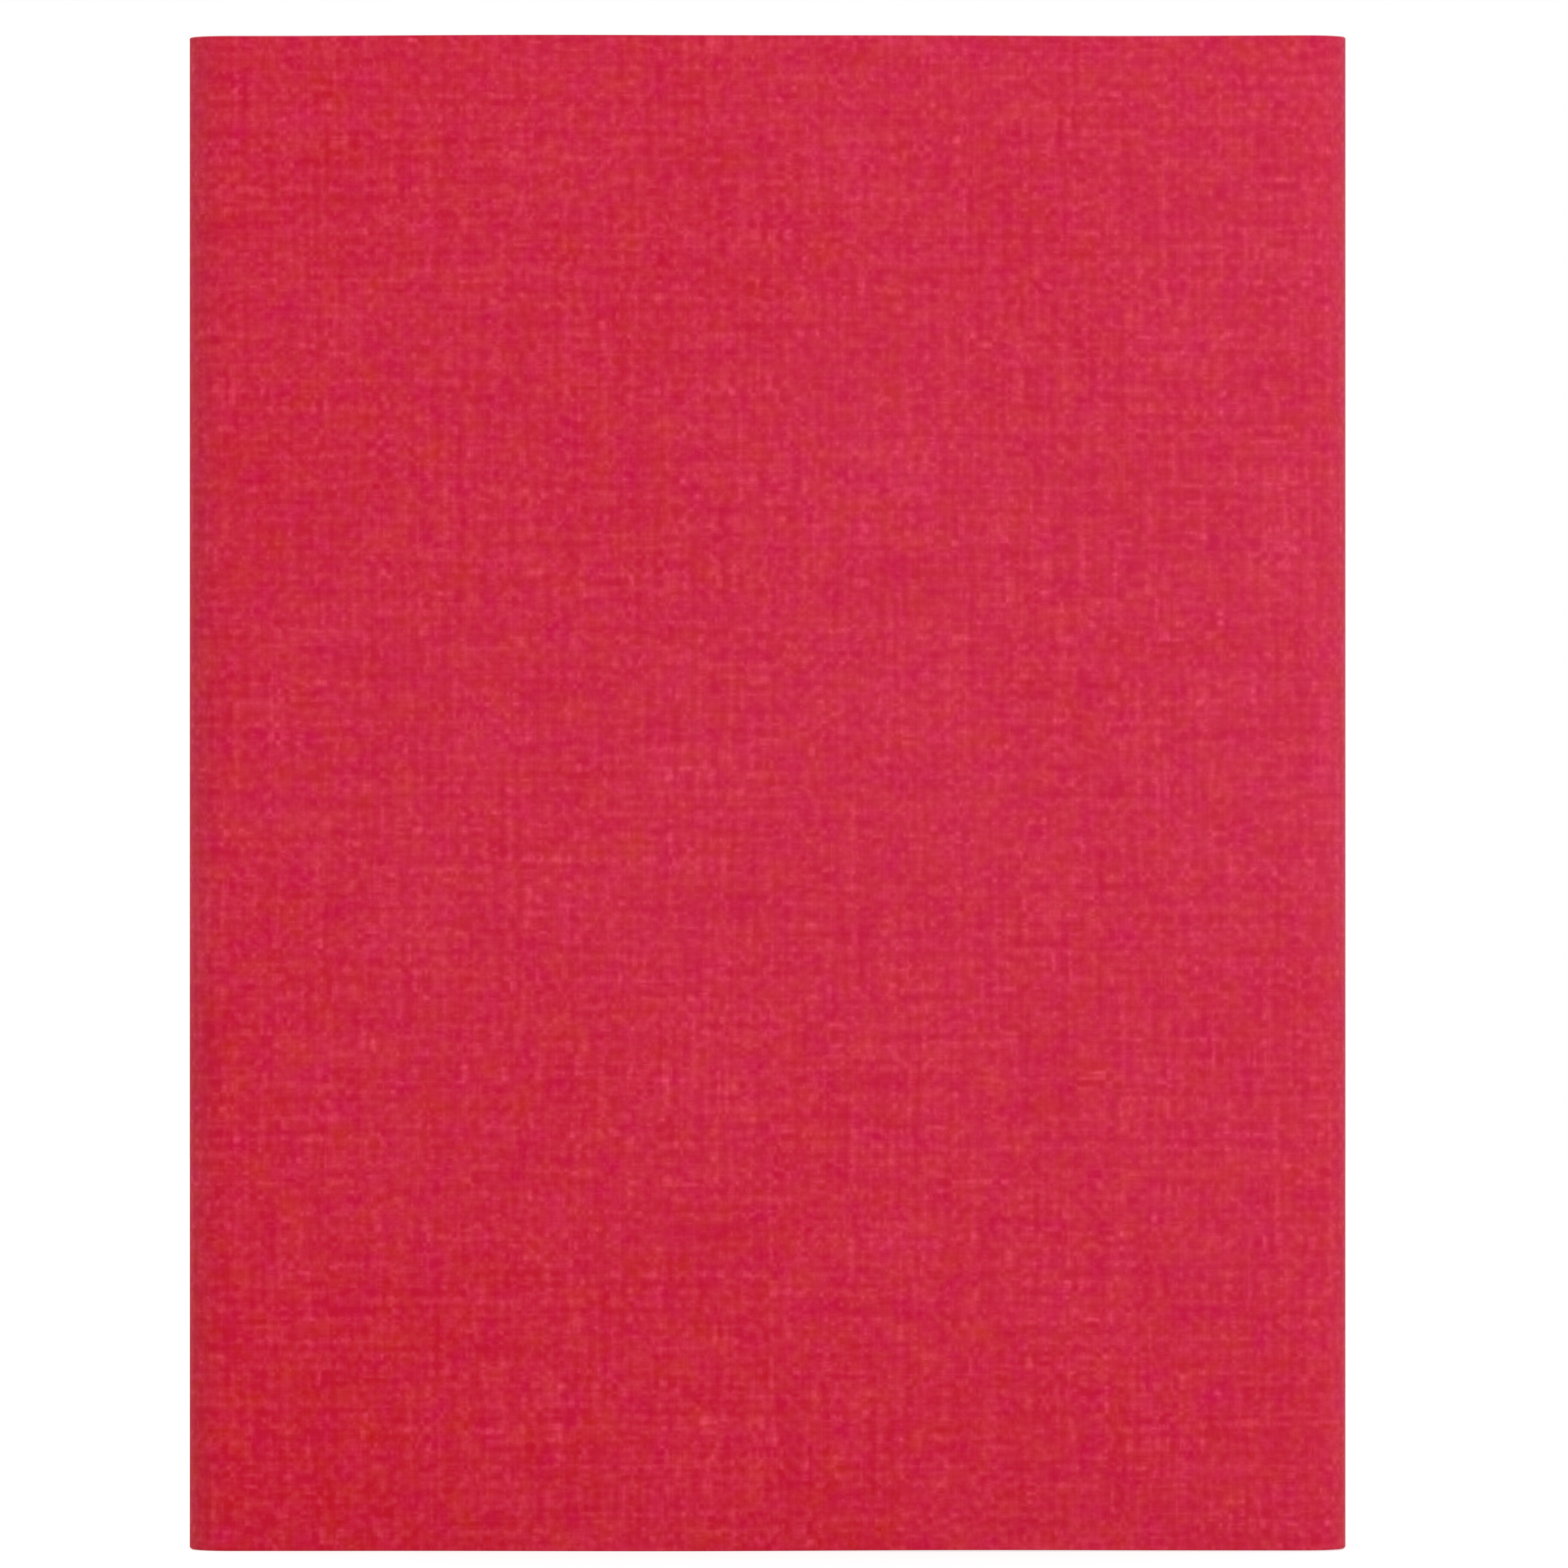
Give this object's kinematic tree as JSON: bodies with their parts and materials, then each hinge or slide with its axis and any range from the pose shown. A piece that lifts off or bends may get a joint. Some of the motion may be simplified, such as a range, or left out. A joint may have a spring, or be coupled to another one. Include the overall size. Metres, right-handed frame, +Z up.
{
  "type": "fabric bolt",
  "caption": "Short upright bolt of crimson plain-weave cotton, folded in four and wound on a hollow corrugated board core with tuck flaps at its ends.",
  "frame": {"origin": "middle of the bolt's footprint, at the level of the cloth's lower folds, on which the bolt stands", "axes": "+Z up along the bolt's height, +X across its width, +Y through its depth from the front face to the back, where the loose end lies"},
  "size_m": [0.2134, 0.0358, 0.2794],
  "materials": {
    "crimson_cotton": "matte",
    "kraft_board": "matte",
    "label_paper": "satin",
    "masking_tape": "satin"
  },
  "bodies": {
    "bolt": {"cloth_roll": "crimson_cotton", "core_sleeve": "kraft_board", "core_stiffener": "kraft_board", "start_tape": "masking_tape"},
    "tail": {"cloth_tail": "crimson_cotton", "tail_tape_upper": "masking_tape", "tail_tape_lower": "masking_tape"},
    "top_flap": {"top_flap": "kraft_board", "end_label": "label_paper"},
    "bottom_flap": {"bottom_flap": "kraft_board"},
    "top_dust_flap_left": {"top_dust_flap_left": "kraft_board"},
    "top_dust_flap_right": {"top_dust_flap_right": "kraft_board"},
    "bottom_dust_flap_left": {"bottom_dust_flap_left": "kraft_board"},
    "bottom_dust_flap_right": {"bottom_dust_flap_right": "kraft_board"}
  },
  "joints": [
    {"name": "tail_swing", "type": "hinge", "parent": "bolt", "child": "tail", "pos_m": [0.0988, 0.01778, 0.1397], "axis": [0, 0, -1], "range_deg": [0, 170]},
    {"name": "top_flap_hinge", "type": "hinge", "parent": "bolt", "child": "top_flap", "pos_m": [0, 0.0127, 0.2762], "axis": [-1, 0, 0], "range_deg": [0, 90]},
    {"name": "bottom_flap_hinge", "type": "hinge", "parent": "bolt", "child": "bottom_flap", "pos_m": [0, -0.0127, 0.0032], "axis": [-1, 0, 0], "range_deg": [0, 90]},
    {"name": "top_dust_flap_left_hinge", "type": "hinge", "parent": "bolt", "child": "top_dust_flap_left", "pos_m": [-0.0983, 0, 0.2699], "axis": [0, 1, 0], "range_deg": [0, 85]},
    {"name": "top_dust_flap_right_hinge", "type": "hinge", "parent": "bolt", "child": "top_dust_flap_right", "pos_m": [0.0983, 0, 0.2699], "axis": [0, -1, 0], "range_deg": [0, 85]},
    {"name": "bottom_dust_flap_left_hinge", "type": "hinge", "parent": "bolt", "child": "bottom_dust_flap_left", "pos_m": [-0.0983, 0, 0.0095], "axis": [0, -1, 0], "range_deg": [0, 85]},
    {"name": "bottom_dust_flap_right_hinge", "type": "hinge", "parent": "bolt", "child": "bottom_dust_flap_right", "pos_m": [0.0983, 0, 0.0095], "axis": [0, 1, 0], "range_deg": [0, 85]}
  ]
}
